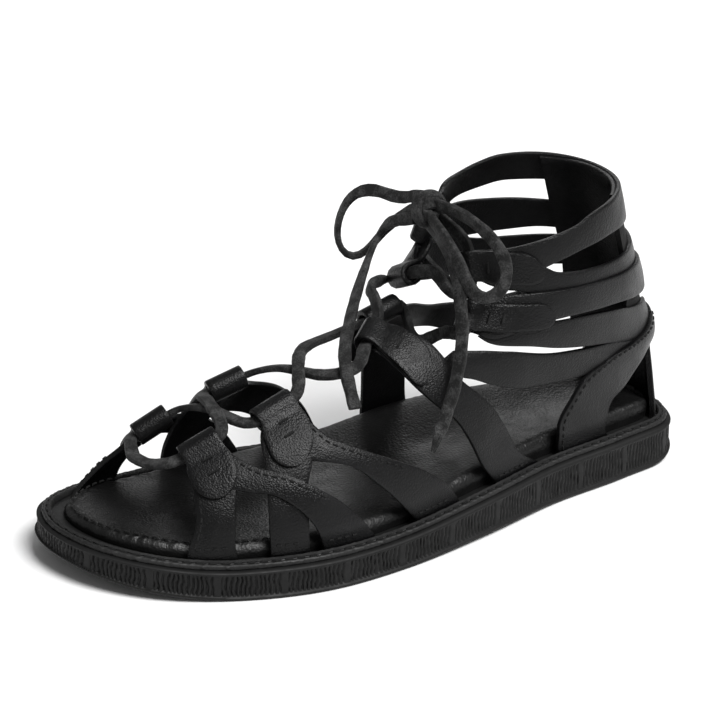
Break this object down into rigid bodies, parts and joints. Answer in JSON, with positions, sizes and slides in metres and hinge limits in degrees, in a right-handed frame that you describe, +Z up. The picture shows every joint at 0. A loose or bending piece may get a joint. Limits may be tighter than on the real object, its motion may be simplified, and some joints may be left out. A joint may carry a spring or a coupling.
{
  "type": "lace-up gladiator sandal",
  "caption": "Left flat gladiator sandal: forked leather straps with folded lace tunnels, open ankle rings, a criss-crossed suede lace tied in a bow, moulded footbed and ribbed rubber sole.",
  "frame": {"origin": "bottom centre of the sandal's box, on the plane that it stands on", "axes": "+X towards the heel, -X towards the toe, +Y towards the inner side of the left foot, -Y towards the outer side, +Z up"},
  "size_m": [0.2696, 0.1017, 0.1216],
  "materials": {
    "sole_rubber": "matt moulded black rubber, light unit sole",
    "welt_leather": "black cut leather edge",
    "footbed_leather": "smooth black lining leather",
    "strap_leather": "black leather with a soft satin grain",
    "lace_suede": "black suede, no shine"
  },
  "bodies": {
    "root": {"outsole": "sole_rubber", "welt": "welt_leather", "footbed": "footbed_leather", "forefoot_straps_outer": "strap_leather", "forefoot_straps_inner": "strap_leather", "ankle_straps": "strap_leather", "lace_crossings": "lace_suede", "lace_knot": "lace_suede", "lace_loop_left": "lace_suede", "lace_loop_right": "lace_suede", "lace_end_left": "lace_suede", "lace_end_right": "lace_suede"}
  },
  "joints": []
}
